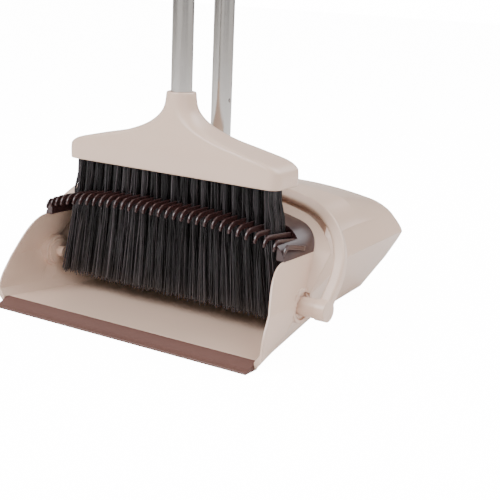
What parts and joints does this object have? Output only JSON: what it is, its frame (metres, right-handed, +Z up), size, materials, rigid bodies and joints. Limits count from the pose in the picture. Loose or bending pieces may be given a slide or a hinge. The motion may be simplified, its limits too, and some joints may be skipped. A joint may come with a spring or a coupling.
{
  "type": "dust pan and brush set",
  "caption": "Upright dust pan with a hinged bail handle, bristle comb and rubber lip, and a long-handled brush held in a clip on its pole.",
  "frame": {"origin": "on the floor directly under the pan pole, on the face of the centre skid pad", "axes": "+Z up along the pole, -Y out of the mouth of the pan, +X to the right when facing the mouth from the front"},
  "size_m": [0.386, 0.3522, 1.294],
  "materials": {
    "beige_plastic": "gloss",
    "brown_plastic": "satin",
    "brown_rubber": "matte",
    "tube_steel": "polished",
    "pin_steel": "satin",
    "inner_plastic": "matte",
    "black_bristle": "satin"
  },
  "bodies": {
    "dustpan": {"pan_shell": "beige_plastic", "rubber_lip": "brown_rubber", "skid_pads": "brown_rubber", "comb_strip": "brown_plastic", "comb_teeth": "brown_plastic", "pivot_bush_left": "beige_plastic", "pivot_bush_right": "beige_plastic"},
    "pan_handle": {"bail_arm": "beige_plastic", "pivot_pin_left": "beige_plastic", "pivot_pin_right": "beige_plastic", "pan_lower_tube": "tube_steel", "pan_upper_tube": "tube_steel", "pan_tube_spigot": "inner_plastic", "pan_tube_joiner": "beige_plastic", "pan_tube_lock_pin": "pin_steel", "pistol_grip": "beige_plastic", "grip_screw": "pin_steel", "broom_clip": "beige_plastic"},
    "broom": {"broom_head": "beige_plastic", "tuft_block": "inner_plastic", "bristles": "black_bristle", "broom_lower_tube": "tube_steel", "broom_upper_tube": "tube_steel", "broom_tube_spigot": "inner_plastic", "broom_tube_joiner": "beige_plastic", "broom_socket_insert": "inner_plastic", "hanging_grip": "beige_plastic"}
  },
  "joints": [
    {"name": "pan_hinge", "type": "hinge", "parent": "dustpan", "child": "pan_handle", "pos_m": [0, -0.0878, 0.0458], "axis": [1, 0, 0], "range_deg": [0, 90]},
    {"name": "broom_slide", "type": "slide", "parent": "pan_handle", "child": "broom", "axis": [0, 0, 1], "range_m": [0, 0.36]}
  ]
}
